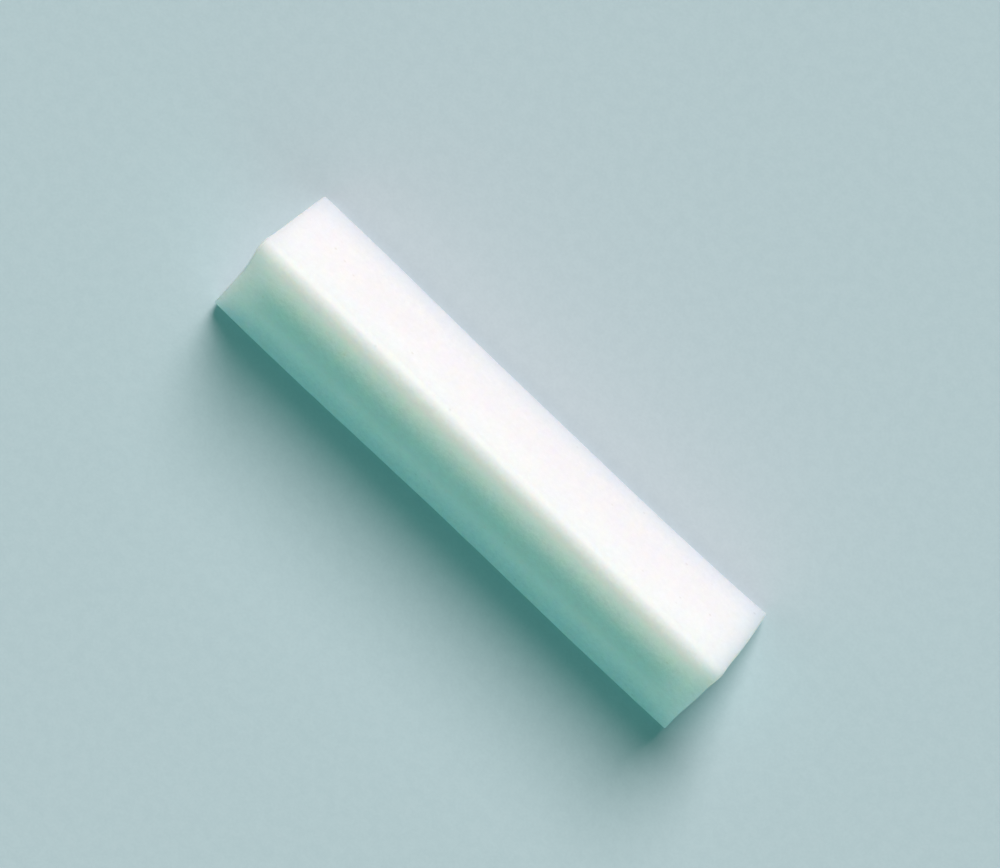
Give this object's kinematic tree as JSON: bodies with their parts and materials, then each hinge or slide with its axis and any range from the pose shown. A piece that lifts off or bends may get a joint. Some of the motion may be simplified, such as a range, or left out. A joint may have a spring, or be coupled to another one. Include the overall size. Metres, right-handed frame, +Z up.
{
  "type": "magnetic stir bar",
  "caption": "Triangular magnetic stir bar: a magnet rod sealed in a white PTFE prism with rounded long edges and flat ends.",
  "frame": {"origin": "centre of the bar's footprint, on the plane it rests on", "axes": "+X along the bar, +Z up from the long face it rests on, through the top ridge"},
  "size_m": [0.05, 0.0124, 0.011],
  "materials": {
    "ptfe": "waxy satin, slightly translucent",
    "magnet": "ground cast magnet alloy"
  },
  "bodies": {
    "root": {"ptfe_jacket": "ptfe", "magnet_rod": "magnet"}
  },
  "joints": []
}
